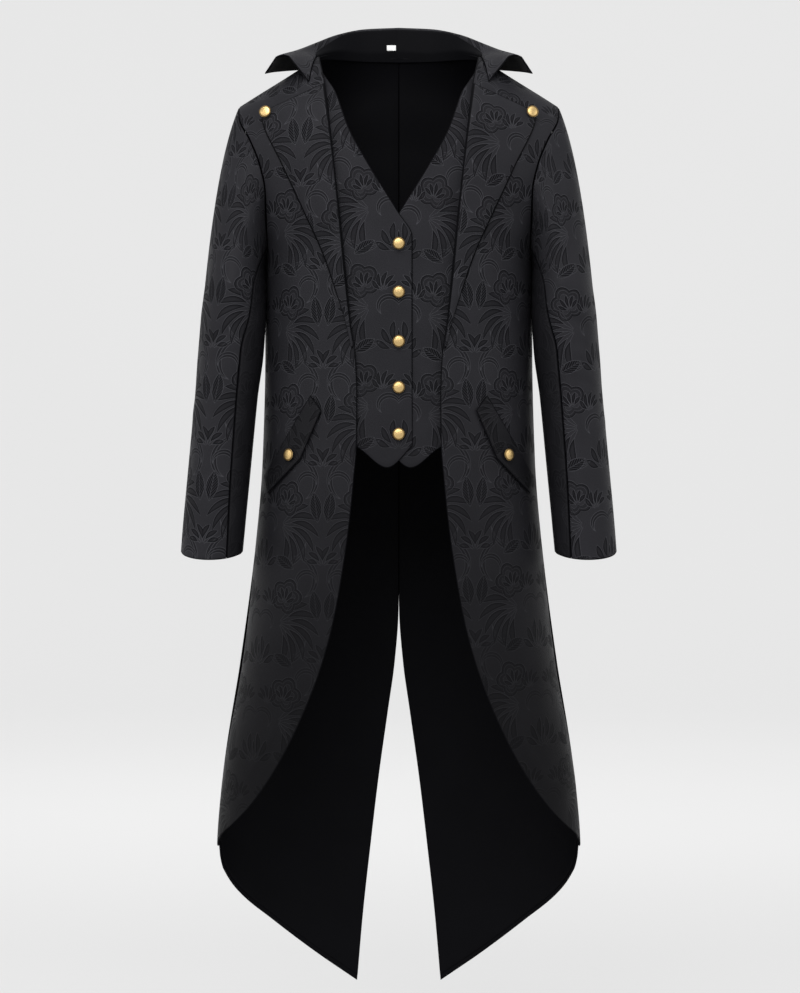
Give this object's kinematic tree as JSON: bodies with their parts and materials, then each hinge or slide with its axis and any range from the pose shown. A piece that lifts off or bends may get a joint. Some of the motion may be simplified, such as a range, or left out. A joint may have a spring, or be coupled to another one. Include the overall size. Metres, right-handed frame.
{
  "type": "tailcoat",
  "caption": "Long cutaway tailcoat, filled out and open, with a turned-down collar, wide buttoned lapels, a waistcoat front, slanted pocket flaps and a back vent.",
  "frame": {"origin": "inside the neck, level with the tops of the shoulders: where the wearer holds the coat up", "axes": "the front faces -Y, the wearer's left is +X, and the neck opens towards +Z"},
  "size_m": [0.6026, 0.2668, 1.3741],
  "materials": {
    "jacquard": "black jacquard with satin flowers, tone on tone",
    "lining": "plain black, matte",
    "brass": "brushed, domed",
    "tab": "plain white, woven"
  },
  "bodies": {
    "root": {"front_left": "jacquard", "front_right": "jacquard", "back_left": "jacquard", "back_right": "jacquard", "lining_left": "lining", "lining_right": "lining", "sleeve_top_left": "jacquard", "sleeve_top_right": "jacquard", "sleeve_under_left": "jacquard", "sleeve_under_right": "jacquard", "lapel_left": "jacquard", "lapel_right": "jacquard", "waistcoat_left": "jacquard", "waistcoat_right": "jacquard", "flap_left": "jacquard", "flap_right": "jacquard", "collar": "jacquard", "neck_facing": "lining", "size_tab": "tab", "button_waistcoat_1": "brass", "button_waistcoat_2": "brass", "button_waistcoat_3": "brass", "button_waistcoat_4": "brass", "button_waistcoat_5": "brass", "button_lapel_left": "brass", "button_lapel_right": "brass", "button_flap_left": "brass", "button_flap_right": "brass"}
  },
  "joints": []
}
